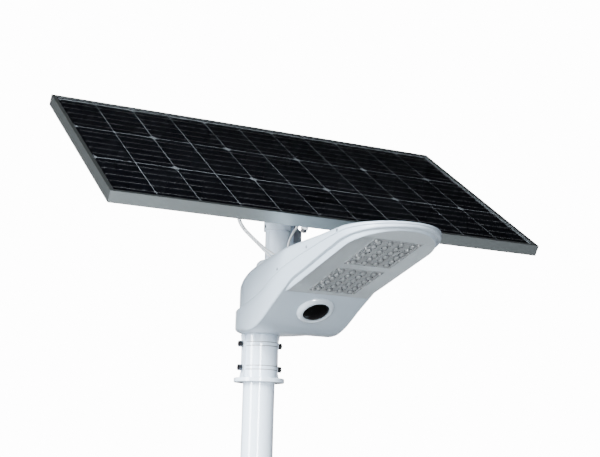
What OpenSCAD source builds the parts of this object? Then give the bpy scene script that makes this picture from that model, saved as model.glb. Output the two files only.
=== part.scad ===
// Solar street lamp: a die-cast lamp head with a tilting solar panel above it, on the top section of a pole.
// The origin is on the pole's axis at the lower end of that section. The lamp head points along -Y.
// Heights inside the modules are measured from the top face of the pole's stop ring; on_ring() lifts them.

/* [Pole] */
// Outer diameter of the pole
pole_d = 76; // [74:0.5:78]
// Wall of the pole's tube
pole_wall = 3; // [2.5:0.5:5]
// Length of pole below the top face of the stop ring
pole_drop = 260; // [240:10:600]
// Diameter of the stop ring
ring_d = 121; // [112:1:130]
// Thickness of the stop ring
ring_t = 10; // [6:0.5:12]

/* [Panel] */
// Length of the panel, along X
panel_l = 1048; // [1026:2:1100]
// Width of the panel, along its slope
panel_w = 583; // [575:1:600]
// Height of the panel's frame
frame_h = 26; // [24:0.5:28]
// Tilt of the panel from level
panel_tilt = 33.8; // [33:0.1:34]

/* [Lamp head] */
// Wall of the head's castings
shell_wall = 3; // [2.5:0.5:4]
// Height of a lens dome above its plate
dome_h = 4; // [3:0.5:5]
// Diameter of the motion sensor's window
sensor_d = 59; // [54:1:60]

/* [Sockets] */
// Wall of the socket on the pole
socket_wall = 4.5; // [4:0.5:5]
// Diameter of the upper stub
stub_d = 57; // [56:0.5:58]
// Radial clearance between each socket and its tube
socket_gap = 0.05; // [0.02:0.01:0.1]

/* [Hidden] */
$fn = 64;
pole_r = pole_d / 2;
stub_r = stub_d / 2;
stub_y = -76;
stub_top = 402;
socket_r = pole_r + socket_wall;
socket_rows = [24, 80];
// Top of the tray's floor round the socket, where its flange rests
seat_z = 106.4;
pad_x = 44;
socket_spots = [[-47, -24], [47, -24], [-47, -52], [47, -52]];
spine_turns = [195, 240, 300, 345];
sleeve_r = stub_r + 4;
sleeve_z = [345, 400];
sleeve_rows = [354, 388];

// The panel's middle, on its top face, and the tilt axis
panel_at = [0, -157.9, 479.8];
pivot = [0, -38, 425];
pivot_arm = pivot - panel_at;
pivot_v = pivot_arm[1] * cos(panel_tilt) + pivot_arm[2] * sin(panel_tilt);
pivot_w = pivot_arm[2] * cos(panel_tilt) - pivot_arm[1] * sin(panel_tilt);
lock_r = 34;
lock_a = 16.9;
cheek_in = 58;
cheek_t = 4;
ear_in = cheek_in + cheek_t + 0.6;
ear_t = 4;

// Stack of the panel, downwards from its top face
lip_t = 1.5;
glass_t = 3.2;
cell_t = 0.3;
back_t = 0.6;
flange_t = 1.8;
flange_w = 28;
laminate_low = lip_t + glass_t + cell_t + back_t;
margin = 12.5;
columns = 11;
rows = 3;
pitch_x = (panel_l - 2 * margin) / columns;
pitch_v = (panel_w - 2 * margin) / rows;
rail_x = 79;
rail_w = 38;
rail_h = 14;
spacer_h = 8;

// Plan of the head: straight sides with half an ellipse at each end
head_a = 110;
rear_y = -184;
tip_y = -576;
tip_b = 112;
tray_b = 239;
cover_b = 207;
rear_k = 1.07;

// Heights along the head: [y, z] of the side wall's lower edge, the parting line, the shoulder and the crown
low_line = [
    [-690, 256], [-640, 249.5], [-576, 238], [-500, 219], [-426, 199], [-387, 190], [-360, 181],
    [-335, 167.5], [-313, 156], [-289, 144], [-265, 130.5], [-240, 116.5], [-217, 105], [-184, 94.5],
    [-150, 93], [-118, 98], [-84, 103], [20, 103], [60, 106]
];
part_line = [
    [-690, 262], [-600, 256], [-520, 247], [-440, 235], [-363, 222], [-306, 209], [-268, 195],
    [-229, 177.5], [-178, 161], [-120, 153.5], [-60, 152], [60, 152]
];
shoulder_line = [
    [-690, 267], [-625, 266], [-575, 266], [-520, 266.5], [-438, 265], [-315, 261], [-240, 250],
    [-155, 236], [-90, 222], [0, 203], [30, 196]
];
crown_line = [
    [-690, 268], [-640, 272], [-575, 277], [-438, 278], [-315, 274], [-240, 263], [-155, 249],
    [-90, 235], [0, 214], [30, 202]
];

// The flat of the light: a point on it, its slope, and the outline of its plate
light_at = [0, -352.1, 169.4];
light_a = 14.2;
plate_a = 97.5;
plate_rear = -338;
plate_tip = -577;
plate_b = 96;
module_w = 110.7;
module_l = 129.4;
module_t = [0, 153.4];
lens_cols = 4;
lens_rows = 6;

// The sensor's place on the belly
sensor_at = [0, -278.2, 138.6];
sensor_a = 32.5;

screw_spots = [[-306, 214], [-440, 243], [-570, 257.5]];
gland_spots = [[-24, -142], [2, -142]];

// Routes of the leads from the head's glands up to the panel
lead_r = 2.7;
lead_sides = 8;
plus_route = [
    [-21, -142, 264], [-23, -141, 269], [-36, -134.5, 278], [-55.5, -129, 290.5], [-73.7, -124.8, 305.3],
    [-89.7, -119.8, 320.3], [-105.5, -116, 336.5], [-115, -112.5, 355], [-121.5, -113, 385],
    [-125, -114, 420], [-127, -111, 455], [-127, -105, 483], [-126, -96, 500], [-126, -85.5, 510.1]
];
minus_route = [
    [-28, -142, 264], [-31.5, -139, 266.5], [-42, -128.5, 273.5], [-57, -122.5, 288], [-73.9, -118.6, 304],
    [-89.7, -113.6, 319.2], [-105.5, -109.8, 335.4], [-116, -106.4, 355], [-124, -107, 388],
    [-131, -110, 420], [-137, -110, 455], [-140, -105, 483], [-140, -96, 500], [-140, -85.5, 510.1]
];
bond_route = [
    [2, -142, 264], [2, -138, 275], [2, -130, 295], [7, -127, 316], [15, -127, 333], [26, -128, 351],
    [40, -131, 368], [54, -139, 388], [66, -147, 412], [75, -151, 436], [79, -147, 453],
    [79, -136.2, 460.8]
];

// ---- Places ----

module on_ring() {
    translate([0, 0, pole_drop]) children();
}

module on_stub() {
    translate([0, stub_y, 0]) children();
}

module on_panel() {
    translate(panel_at) rotate([panel_tilt, 0, 0]) children();
}

// X stays, Y runs towards the head's tip, Z points out of the light
module on_light() {
    translate(light_at) rotate([180 - light_a, 0, 0]) children();
}

module on_sensor() {
    translate(sensor_at) rotate([180 - sensor_a, 0, 0]) children();
}

module both_sides() {
    children();
    mirror([1, 0, 0]) children();
}

// ---- Shared shapes ----

module tube(r_out, r_in, z0, z1) {
    translate([0, 0, z0]) difference() {
        cylinder(r = r_out, h = z1 - z0);
        translate([0, 0, -1]) cylinder(r = r_in, h = z1 - z0 + 2);
    }
}

module rod_x(r, x0, x1, at) {
    translate([x0, at[0], at[1]]) rotate([0, 90, 0]) cylinder(r = r, h = x1 - x0);
}

module rod_y(r, y0, y1, at) {
    translate([at[0], y0, at[1]]) rotate([-90, 0, 0]) cylinder(r = r, h = y1 - y0);
}

module hex(af, h) {
    cylinder(r = af / 2 / cos(30), h = h, $fn = 6);
}

// Head down at z = 0, shank up
module socket_screw(d, long) {
    difference() {
        translate([0, 0, -d]) cylinder(r = d * 0.8, h = d);
        translate([0, 0, -d - 1]) hex(d * 0.75, d * 0.6 + 1);
    }
    cylinder(r = d / 2, h = long);
}

// The plan of the head, drawn in by the share q: right side from rear to tip, then left side back
function plan_side(q, a, b, rear, tip, tip_b) = concat(
    [for (i = [0:9]) let(w = 88 - i * 9.7)
        [a * (1 - q) * cos(w) ^ rear_k, rear + b * (1 - q) * sin(w) ^ rear_k]],
    [for (i = [1:11]) [a * (1 - q), rear + (tip - rear) * i / 12]],
    [for (i = [0:9]) let(w = i * 9.8) [a * (1 - q) * cos(w), tip - tip_b * (1 - q) * sin(w)]]
);

function ring_at(q, b, z) = let(side = plan_side(q, head_a, b, rear_y, tip_y, tip_b), n = len(side)) concat(
    [for (p = side) [p[0], p[1], z(p[1])]],
    [for (i = [n - 1:-1:0]) [-side[i][0], side[i][1], z(side[i][1])]]
);

// A closed solid through mirrored rings; each end is closed by strips from side to side
module loft(rings) {
    n = len(rings[0]);
    m = len(rings);
    half = n / 2;
    last = (m - 1) * n;
    walls = [for (j = [0:m - 2], i = [0:n - 1]) let(a = j * n + i, b = j * n + (i + 1) % n) each
        [[a, b, a + n], [b, b + n, a + n]]];
    ends = [for (i = [0:half - 2]) let(c = n - 1 - i) each [
        [i, c, i + 1], [c, c - 1, i + 1],
        [last + i, last + i + 1, last + c], [last + c, last + i + 1, last + c - 1]
    ]];
    polyhedron([for (r = rings) each r], concat(walls, ends));
}

function low(y) = lookup(y, low_line);
function part(y) = lookup(y, part_line);
function shoulder(y) = lookup(y, shoulder_line);
function crown(y) = lookup(y, crown_line);
function light(y) = light_at[2] + (light_at[1] - y) * tan(light_a);

// Smooth points through a hand-set route
function between(p, q, r, s, t) = 0.5 * (2 * q + (r - p) * t + (2 * p - 5 * q + 4 * r - s) * t * t
    + (3 * q - p - 3 * r + s) * t * t * t);
function smooth(route) = let(n = len(route)) concat(
    [for (i = [0:n - 2], t = [0, 0.5])
        between(route[max(i - 1, 0)], route[i], route[i + 1], route[min(i + 2, n - 1)], t)],
    [route[n - 1]]
);
function unit(v) = v / norm(v);
function heading(path, i) = unit(path[min(i + 1, len(path) - 1)] - path[max(i - 1, 0)]);
function lead_ring(path, i) = let(h = heading(path, i), u = unit(cross(h, [0.3, 1, 0])), v = cross(h, u)) [
    for (k = [0:lead_sides - 1]) let(a = k * 360 / lead_sides) path[i] + lead_r * (u * cos(a) + v * sin(a))
];

module lead(route, first, last) {
    path = smooth(route);
    n = lead_sides;
    count = last - first + 1;
    end = (count - 1) * n;
    walls = [for (j = [0:count - 2], k = [0:n - 1]) let(a = j * n + k, b = j * n + (k + 1) % n) each
        [[a, a + n, b], [b, a + n, b + n]]];
    polyhedron(
        [for (i = [first:last]) each lead_ring(path, i)],
        concat(walls, [[for (k = [0:n - 1]) k]], [[for (k = [n - 1:-1:0]) end + k]])
    );
}

// ---- Pole ----

module pole_tube() {
    color("white") difference() {
        tube(pole_r, pole_r - pole_wall, 0, pole_drop + 128);
        rod_x(5.5, -pole_r - 1, pole_r + 1, [0, 35]);
    }
}

module stop_ring() {
    color("white") on_ring() rotate_extrude() polygon([
        [pole_r, 0], [ring_d / 2 - 1, 0], [ring_d / 2, -1], [ring_d / 2, 1 - ring_t],
        [ring_d / 2 - 1, -ring_t], [pole_r + 2, -ring_t], [pole_r, -ring_t - 2]
    ]);
}

// ---- Socket on the pole ----

// Side pad for the screws, flared at both ends
module socket_pad() {
    rotate([90, 0, 0]) translate([0, 0, -11]) linear_extrude(22) polygon([
        [0, 0.2], [pad_x + 3, 0.2], [pad_x + 2.4, 6], [pad_x, 15], [pad_x, 86.5], [pad_x + 3, seat_z - 3.8],
        [0, seat_z - 3.8]
    ]);
}

module pole_socket() {
    color("white") on_ring() difference() {
        union() {
            difference() {
                translate([0, 0, 0.2]) cylinder(r = socket_r, h = seat_z);
                for (z = socket_rows, s = [-1, 1])
                    tube(socket_r + 1, socket_r - 1.2, z + s * 4.5 - 0.9, z + s * 4.5 + 0.9);
            }
            for (z = socket_rows) translate([0, 0, z - 3.6]) cylinder(r = socket_r + 0.8, h = 7.2);
            both_sides() socket_pad();
            translate([0, 0, seat_z - 2.4]) cylinder(r = 44, h = 138.9 - seat_z);
            translate([-54, -62, seat_z]) cube([108, 54, 6]);
        }
        translate([0, 0, -1]) cylinder(r = pole_r + socket_gap, h = 131);
        for (p = socket_spots) translate([p[0], p[1], seat_z - 8]) cylinder(r = 3.2, h = 20);
        for (a = spine_turns) rotate(a) translate([24, 0, 120]) cylinder(r = 4.2, h = 20);
        for (z = socket_rows) rod_x(4.05, -60, 60, [0, z]);
    }
}

// A screw along X, its tip at the pole
module side_screw(z) {
    translate([pole_r + 0.07, 0, z]) rotate([0, 90, 0]) difference() {
        union() {
            cylinder(r = 4, h = pad_x + 3.6 - pole_r);
            translate([0, 0, pad_x + 3.5 - pole_r]) cylinder(r = 7.4, h = 8.3);
        }
        translate([0, 0, pad_x + 7.3 - pole_r]) hex(6.6, 10);
    }
}

module socket_screws() {
    color("dimgray") on_ring() both_sides() for (z = socket_rows) side_screw(z);
}

module screw_washers() {
    color("silver") on_ring() both_sides() for (z = socket_rows) difference() {
        rod_x(5.6, pad_x, pad_x + 3.5, [0, z]);
        rod_x(4.05, 0, 60, [0, z]);
    }
}

module socket_bolts() {
    color("silver") on_ring() for (p = socket_spots)
        translate([p[0], p[1], seat_z + 6]) mirror([0, 0, 1]) socket_screw(6, 8.8);
}

// ---- Lamp head ----

module tray_hollow() {
    q = shell_wall / head_a;
    loft([
        ring_at(q + 0.06, tray_b - shell_wall, function(y) low(y) + shell_wall),
        ring_at(q, tray_b - shell_wall, function(y) min(low(y) + 10, part(y) - shell_wall - 1)),
        ring_at(q, tray_b - shell_wall, function(y) part(y) - shell_wall),
        ring_at(q, cover_b - 2 * shell_wall, function(y) part(y) - shell_wall + 0.1),
        ring_at(q, cover_b - 2 * shell_wall, function(y) part(y) + 20)
    ]);
}

module head_tray() {
    color("white") on_ring() difference() {
        loft([
            ring_at(0.09, tray_b, function(y) low(y)),
            ring_at(0.03, tray_b, function(y) low(y) + min(3, 0.3 * (part(y) - low(y)))),
            ring_at(0, tray_b, function(y) low(y) + min(9, 0.6 * (part(y) - low(y)))),
            ring_at(0, tray_b, function(y) part(y))
        ]);
        tray_hollow();
        translate([0, 0, 80]) cylinder(r = 44.4, h = 40);
        for (p = socket_spots) translate([p[0], p[1], seat_z - 8]) cylinder(r = 3.2, h = 20);
        on_sensor() translate([0, 0, -20]) cylinder(r = 39.2, h = 40);
        on_sensor() translate([0, 0, 0.4]) cylinder(r = 43.6, h = 20);
        on_light() translate([-20, 40, -40]) cube([40, 25, 60]);
    }
}

module head_cover() {
    q = shell_wall / head_a;
    color("white") on_ring() difference() {
        loft([
            ring_at(0, cover_b, function(y) part(y) + 0.8),
            ring_at(0, cover_b, function(y) part(y) + 0.5 * (shoulder(y) - part(y))),
            ring_at(0.012, cover_b, function(y) part(y) + 0.75 * (shoulder(y) - part(y))),
            ring_at(0.05, cover_b, function(y) part(y) + 0.93 * (shoulder(y) - part(y))),
            ring_at(0.1, cover_b, function(y) shoulder(y)),
            ring_at(0.25, cover_b, function(y) 0.55 * shoulder(y) + 0.45 * crown(y)),
            ring_at(0.5, cover_b, function(y) 0.2 * shoulder(y) + 0.8 * crown(y)),
            ring_at(0.75, cover_b, function(y) 0.05 * shoulder(y) + 0.95 * crown(y)),
            ring_at(0.97, cover_b, function(y) crown(y))
        ]);
        loft([
            ring_at(q, cover_b - shell_wall, function(y) part(y) - 20),
            ring_at(q, cover_b - shell_wall, function(y) part(y) + 0.4 * (shoulder(y) - part(y))),
            ring_at(q + 0.07, cover_b - shell_wall, function(y) 0.8 * shoulder(y) + 0.2 * part(y) - 1),
            ring_at(q + 0.25, cover_b - shell_wall, function(y) shoulder(y) - shell_wall),
            ring_at(q + 0.5, cover_b - shell_wall, function(y)
                0.45 * shoulder(y) + 0.55 * crown(y) - shell_wall),
            ring_at(0.94, cover_b - shell_wall, function(y) 0.1 * shoulder(y) + 0.9 * crown(y) - shell_wall)
        ]);
        on_stub() translate([0, 0, 180]) cylinder(r = 51.4, h = 120);
        for (p = gland_spots) translate([p[0], p[1], 200]) cylinder(r = 8.1, h = 80);
        for (p = screw_spots) both_sides() rod_x(3.1, 90, 120, p);
    }
}

module cover_screws() {
    color("dimgray") on_ring() both_sides() for (p = screw_spots) difference() {
        rod_x(3, 103, head_a + 0.4, p);
        translate([head_a - 1.6, p[0], p[1]]) rotate([0, 90, 0]) hex(3, 3);
    }
}

module spine() {
    color("silver") on_ring() difference() {
        union() {
            translate([0, 0, 136.6]) cylinder(r = 44, h = 12);
            translate([-44, -124, 136.6]) cube([88, 124, 12]);
            on_stub() translate([0, 0, 148.6]) cylinder(r = 44, h = 51);
        }
        on_stub() translate([0, 0, 146]) cylinder(r = stub_r, h = 60);
        for (a = spine_turns) rotate(a) translate([24, 0, 130]) cylinder(r = 4.2, h = 30);
    }
}

module spine_bolts() {
    color("silver") on_ring() for (a = spine_turns)
        rotate(a) translate([24, 0, 148.6]) mirror([0, 0, 1]) socket_screw(8, 17);
}

module stub_collar() {
    color("white") on_ring() on_stub() rotate_extrude() polygon([
        [stub_r, 199.8], [51, 199.8], [51, 245], [49, 259], [46, 267], [41, 271.5], [35, 274], [stub_r, 274]
    ]);
}

module stub_tube() {
    color("white") on_ring() on_stub() tube(stub_r, stub_r - 3, 146.2, stub_top);
}

module stub_cap() {
    color("gray") on_ring() on_stub() {
        translate([0, 0, stub_top]) cylinder(r = stub_r, h = 3);
        translate([0, 0, stub_top - 12]) cylinder(r = stub_r - 3.1, h = 12);
    }
}

// A curved plate with round corners over the hatch in the stub's front
module neck_cover() {
    low_z = 275;
    high_z = sleeve_z[0] - 2;
    color("white") on_ring() on_stub() intersection() {
        tube(stub_r + 2, stub_r + 0.05, low_z, high_z);
        rotate([90, 0, 0]) linear_extrude(60) hull() for (x = [-19.5, 19.5], z = [low_z + 8, high_z - 8])
            translate([x, z]) circle(8);
    }
}

// The light's plate stands below the tray, with a sloping edge up to it
function plate_ring(out, z) = let(
    side = concat(
        [for (i = [0:2]) [plate_a + out, plate_rear + (i - 2) * 0.1 - 0.1]],
        [for (i = [1:11]) [plate_a + out, plate_rear + (plate_tip - plate_rear) * i / 12]],
        [for (i = [0:14]) let(w = i * 6.2) [(plate_a + out) * cos(w), plate_tip - (plate_b + out) * sin(w)]]
    ),
    n = len(side)
) concat(
    [for (p = side) [p[0], p[1], z(p[1])]],
    [for (i = [n - 1:-1:0]) [-side[i][0], side[i][1], z(side[i][1])]]
);

module light_plate() {
    color("lightgray") on_ring() difference() {
        loft([
            plate_ring(0, function(y) light(y)),
            plate_ring(6, function(y) light(y) + 0.6 * (low(y) - 1.8 - light(y))),
            plate_ring(9, function(y) low(y) - 1.8)
        ]);
        on_light() for (t = module_t) {
            translate([-module_w / 2 - 0.3, t - 0.3, -4]) cube([module_w + 0.6, module_l + 0.6, 10]);
            translate([-12, t + 45, -30]) cube([24, 12, 40]);
        }
    }
}

module led_boards() {
    color("green") on_ring() on_light() for (t = module_t)
        translate([-module_w / 2, t, -4]) cube([module_w, module_l, 1.6]);
}

function lens_at(i, j) = [(i - (lens_cols - 1) / 2) * 26, module_l / 2 + (j - (lens_rows - 1) / 2) * 20.4];

module led_chips() {
    color("gold") on_ring() on_light() for (t = module_t, i = [0:lens_cols - 1], j = [0:lens_rows - 1])
        translate([lens_at(i, j)[0] - 1.75, t + lens_at(i, j)[1] - 1.75, -2.4]) cube([3.5, 3.5, 0.8]);
}

function screw_at(k) = [(k % 2) * 98 - 49, [7, 47, 83, 122.4][floor(k / 2)]];

module lens_module(t) {
    color("white", 0.6) on_ring() on_light() translate([0, t, 0]) difference() {
        union() {
            translate([-module_w / 2, 0, -1.5]) cube([module_w, module_l, 3]);
            for (i = [0:lens_cols - 1], j = [0:lens_rows - 1])
                translate([lens_at(i, j)[0], lens_at(i, j)[1], 1.5]) intersection() {
                    translate([0, 0, dome_h - 9]) sphere(r = 9);
                    cylinder(r = 9, h = 9);
                }
        }
        for (k = [0:7]) translate([screw_at(k)[0], screw_at(k)[1], -5]) cylinder(r = 1.7, h = 20);
    }
}

module lens_inner() {
    lens_module(module_t[0]);
}

module lens_outer() {
    lens_module(module_t[1]);
}

module lens_screws() {
    color("silver") on_ring() on_light() for (t = module_t, k = [0:7])
        translate([screw_at(k)[0], t + screw_at(k)[1], 1.5]) mirror([0, 0, 1]) socket_screw(3, 3.8);
}

module sensor_ring() {
    color("white") on_ring() on_sensor() rotate_extrude() polygon([
        [sensor_d / 2 + 0.2, -6], [39, -6], [39, 0.5], [42.6, 1], [43, 3.2], [42.5, 5.4], [41.1, 7.6],
        [39, 9.5], [36.4, 10.9], [33.6, 11.5], [sensor_d / 2 + 1.9, 11.2], [sensor_d / 2 + 0.7, 10.2],
        [sensor_d / 2 + 0.2, 8.8]
    ]);
}

module sensor_dome() {
    r = sensor_d / 2;
    high = 12;
    ball = (r * r + high * high) / (2 * high);
    color("black") on_ring() on_sensor() difference() {
        union() {
            translate([0, 0, -4]) cylinder(r = r, h = 11.5);
            intersection() {
                translate([0, 0, 7.5 + high - ball]) sphere(r = ball);
                translate([0, 0, 7.5]) cylinder(r = r, h = high + 1);
            }
        }
        translate([0, 0, -5]) cylinder(r = r - 3, h = 10.5);
    }
}

module sensor_board() {
    color("green") on_ring() on_sensor() {
        translate([0, 0, -5.6]) cylinder(r = 24, h = 1.6);
        translate([0, 0, -4]) cylinder(r = 5, h = 4);
    }
}

module battery() {
    color("steelblue") on_ring() translate([-70, -250, 143]) cube([140, 110, 62]);
}

module battery_tray() {
    color("silver") on_ring() {
        translate([-75, -254, 139]) cube([150, 118, 4]);
        for (x = [-60, 60]) {
            translate([x, -150, 99.8]) cylinder(r = 5, h = 39.2);
            translate([x, -230, 119.8]) cylinder(r = 5, h = 19.2);
        }
    }
}

module controller() {
    color("silver") on_ring() {
        translate([-60, -333, 180]) cube([120, 60, 30]);
        for (x = [-40:16:40]) translate([x - 1.5, -333, 210]) cube([3, 60, 8]);
    }
}

module head_glands() {
    color("gray") on_ring() for (p = gland_spots) translate([p[0], p[1], 0]) difference() {
        union() {
            translate([0, 0, 236]) cylinder(r = 8, h = 16);
            translate([0, 0, 250]) hex(19, 5);
            translate([0, 0, 255]) cylinder(r = 9, h = 8);
            translate([0, 0, 263]) cylinder(r = 7.5, h = 1);
        }
        translate([0, 0, 235]) cylinder(r = 4, h = 20);
    }
}

// ---- Panel bracket ----

// A sleeve on the stub with a plate behind it; the plate reaches further down on the right
module saddle() {
    color("white") on_ring() on_stub() difference() {
        union() {
            translate([0, 0, sleeve_z[0]]) cylinder(r = sleeve_r, h = sleeve_z[1] - sleeve_z[0]);
            translate([-43, 29, 374]) cube([86, 8, 28]);
            translate([-58, 29, 374]) cube([116, 8, 7]);
            translate([8, 29, 300]) cube([50, 8, 75]);
        }
        translate([0, 0, 290]) cylinder(r = stub_r + socket_gap, h = 120);
        for (z = sleeve_rows) rod_x(4.05, -40, 40, [0, z]);
    }
}

module saddle_screws() {
    color("dimgray") on_ring() on_stub() both_sides() for (z = sleeve_rows) difference() {
        rod_x(4, stub_r + 0.07, sleeve_r - 1, [0, z]);
        translate([stub_r + 1.5, 0, z]) rotate([0, 90, 0]) hex(4, 5);
    }
}

// The right cheek reaches down beside the stub; the left one ends just below its slot
module cheek(outline) {
    at = [pivot[1], pivot[2]];
    difference() {
        union() {
            translate([cheek_in, 0, 0]) rotate([90, 0, 90]) linear_extrude(cheek_t) polygon(outline);
            rod_x(25, cheek_in, cheek_in + cheek_t, at);
        }
        rod_x(5.05, 0, 100, at);
        for (a = [-lock_a, lock_a]) rod_x(4.4, 0, 100, at + lock_r * [sin(a), -cos(a)]);
        translate([0, at[0], at[1]]) rotate([0, 90, 0]) rotate(-lock_a) rotate_extrude(angle = 2 * lock_a)
            translate([lock_r - 4.4, 0]) square([8.8, 100]);
    }
}

module cheek_right() {
    color("gray") on_ring() cheek([
        [-82, 300], [-82, 350], [-63, 361], [-63, pivot[2]], [-13, pivot[2]], [-13, 300]
    ]);
}

module cheek_left() {
    color("gray") on_ring() mirror([1, 0, 0]) cheek([
        [-63, 375], [-63, pivot[2]], [-13, pivot[2]], [-13, 390], [-30, 375]
    ]);
}

module pivot_bolt() {
    at = [pivot[1], pivot[2]];
    color("silver") on_ring() {
        rod_x(5, -78, 69, at);
        translate([69, at[0], at[1]]) rotate([0, 90, 0]) hex(16, 6.4);
        both_sides() difference() {
            rod_x(10, ear_in + ear_t + 0.2, 69, at);
            rod_x(5, 0, 100, at);
        }
        translate([-77, at[0], at[1]]) rotate([0, 90, 0]) difference() {
            hex(16, 8);
            translate([0, 0, -1]) cylinder(r = 5, h = 12);
        }
    }
}

module pivot_spacer() {
    color("silver") on_ring() translate([-cheek_in, pivot[1], pivot[2]]) rotate([0, 90, 0])
        tube(8.5, 5.05, 0, 2 * cheek_in);
}

// ---- Panel ----

module ear() {
    lock = [pivot_v - lock_r * sin(lock_a), pivot_w - lock_r * cos(lock_a)];
    difference() {
        union() {
            translate([ear_in, 0, 0]) rotate([90, 0, 90]) linear_extrude(ear_t) polygon([
                [pivot_v - 25, -frame_h + flange_t], [pivot_v + 25, -frame_h + flange_t],
                [pivot_v + 17, pivot_w], [lock[0] + 12, lock[1]], [lock[0] - 12, lock[1]],
                [pivot_v - 17, pivot_w]
            ]);
            rod_x(17, ear_in, ear_in + ear_t, [pivot_v, pivot_w]);
            rod_x(12, ear_in, ear_in + ear_t, lock);
            translate([ear_in, pivot_v - 25, -frame_h + flange_t - 4]) cube([35, 50, 4]);
        }
        rod_x(5.06, 0, 100, [pivot_v, pivot_w]);
        rod_x(4.05, 0, 100, lock);
        for (v = [-14, 14]) translate([rail_x + 7, pivot_v + v, -frame_h - 10]) cylinder(r = 4.2, h = 20);
    }
}

module ear_right() {
    color("silver") on_ring() on_panel() ear();
}

module ear_left() {
    color("silver") on_ring() on_panel() mirror([1, 0, 0]) ear();
}

module lock_bolts() {
    lock = [pivot_v - lock_r * sin(lock_a), pivot_w - lock_r * cos(lock_a)];
    color("silver") on_ring() on_panel() both_sides() {
        rod_x(4, cheek_in - 12, ear_in + ear_t, lock);
        translate([ear_in + ear_t, lock[0], lock[1]]) rotate([0, 90, 0]) hex(13, 5.3);
        difference() {
            union() {
                rod_x(8, cheek_in - 1.9, cheek_in - 0.3, lock);
                translate([cheek_in - 8.4, lock[0], lock[1]]) rotate([0, 90, 0]) hex(13, 6.5);
            }
            rod_x(4, 0, 100, lock);
        }
    }
}

// Channel along Y, open at the top, on the frame's lower flanges
module rail() {
    low_w = -frame_h + flange_t;
    long = panel_w - 4.4;
    difference() {
        translate([rail_x, long / 2, low_w]) rotate([90, 0, 0]) linear_extrude(long) polygon([
            [-rail_w / 2, 0], [rail_w / 2, 0], [rail_w / 2, rail_h], [rail_w / 2 - 2, rail_h],
            [rail_w / 2 - 2, 2], [2 - rail_w / 2, 2], [2 - rail_w / 2, rail_h], [-rail_w / 2, rail_h]
        ]);
        for (v = [-1, 1]) translate([rail_x, v * (panel_w / 2 - 14), low_w - 5]) cylinder(r = 4.2, h = 20);
        for (v = [-14, 14]) translate([rail_x + 7, pivot_v + v, low_w - 5]) cylinder(r = 4.2, h = 20);
        translate([rail_x, 33, low_w - 5]) cylinder(r = 3.1, h = 20);
    }
}

module rail_right() {
    color("silver") on_ring() on_panel() rail();
}

module rail_left() {
    color("silver") on_ring() on_panel() mirror([1, 0, 0]) rail();
}

// A bolt with its head in the rail, and its washer and nut under the height given
module through_bolt(under) {
    top = -frame_h + flange_t + 2;
    translate([0, 0, top]) hex(13, 5.3);
    translate([0, 0, under - 10]) cylinder(r = 4, h = top - under + 10);
    difference() {
        union() {
            translate([0, 0, under - 1.6]) cylinder(r = 8, h = 1.6);
            translate([0, 0, under - 8.1]) hex(13, 6.5);
        }
        translate([0, 0, under - 9]) cylinder(r = 4, h = 10);
    }
}

module ear_bolts() {
    color("silver") on_ring() on_panel() both_sides() for (v = [-14, 14])
        translate([rail_x + 7, pivot_v + v, 0]) through_bolt(-frame_h + flange_t - 4);
}

module rail_bolts() {
    color("dimgray") on_ring() on_panel() both_sides() for (v = [-1, 1])
        translate([rail_x, v * (panel_w / 2 - 14), 0]) through_bolt(-frame_h - spacer_h);
}

module rail_spacers() {
    color("white") on_ring() on_panel() both_sides() for (v = [-1, 1])
        translate([rail_x, v * (panel_w / 2 - 14), 0]) tube(7.5, 4.05, -frame_h - spacer_h, -frame_h);
}

// The section of the frame: [inwards, up]
module frame_section() {
    polygon([
        [0, 0], [9, 0], [9, -lip_t], [2, -lip_t], [2, -laminate_low], [9, -laminate_low],
        [9, -laminate_low - 1.5], [2, -laminate_low - 1.5], [2, -frame_h + flange_t],
        [flange_w, -frame_h + flange_t], [flange_w, -frame_h], [0, -frame_h]
    ]);
}

// A mitred side of the frame, along X, with its outer face on the near edge of a panel of that width
module frame_side(long, wide) {
    translate([0, -wide / 2, 0]) difference() {
        translate([-long / 2, 0, 0]) rotate([90, 0, 90]) linear_extrude(long) frame_section();
        both_sides() translate([long / 2, 0, -50]) rotate(45) translate([0, -60, 0]) cube([120, 120, 100]);
    }
}

module frame_long() {
    difference() {
        frame_side(panel_l, panel_w);
        for (x = [-rail_x, rail_x]) translate([x, 14 - panel_w / 2, -frame_h - 5]) cylinder(r = 4.2, h = 10);
        for (x = [-0.35, 0.35]) translate([x * panel_l, 14 - panel_w / 2, -frame_h - 5])
            cylinder(r = 4.5, h = 10);
    }
}

module frame_near() {
    color("silver") on_ring() on_panel() frame_long();
}

module frame_far() {
    color("silver") on_ring() on_panel() rotate(180) frame_long();
}

module frame_right() {
    color("silver") on_ring() on_panel() rotate(90) frame_side(panel_w, panel_l);
}

module frame_left() {
    color("silver") on_ring() on_panel() rotate(-90) frame_side(panel_w, panel_l);
}

module corner_keys() {
    x = panel_l / 2 - 2.2;
    v = panel_w / 2 - 2.2;
    color("silver") on_ring() on_panel() for (a = [-1, 1], b = [-1, 1]) {
        translate([a > 0 ? x - 26 : -x, b > 0 ? v - 3 : -v, -22.8]) cube([26, 3, 14]);
        translate([a > 0 ? x - 3 : -x, b > 0 ? v - 26 : -v, -22.8]) cube([3, 26, 14]);
    }
}

module sheet(up, low_face, inset) {
    translate([inset - panel_l / 2, inset - panel_w / 2, low_face])
        cube([panel_l - 2 * inset, panel_w - 2 * inset, up - low_face]);
}

module panel_glass() {
    color("lightblue", 0.5) on_ring() on_panel() sheet(-lip_t, -lip_t - glass_t, 2.3);
}

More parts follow.
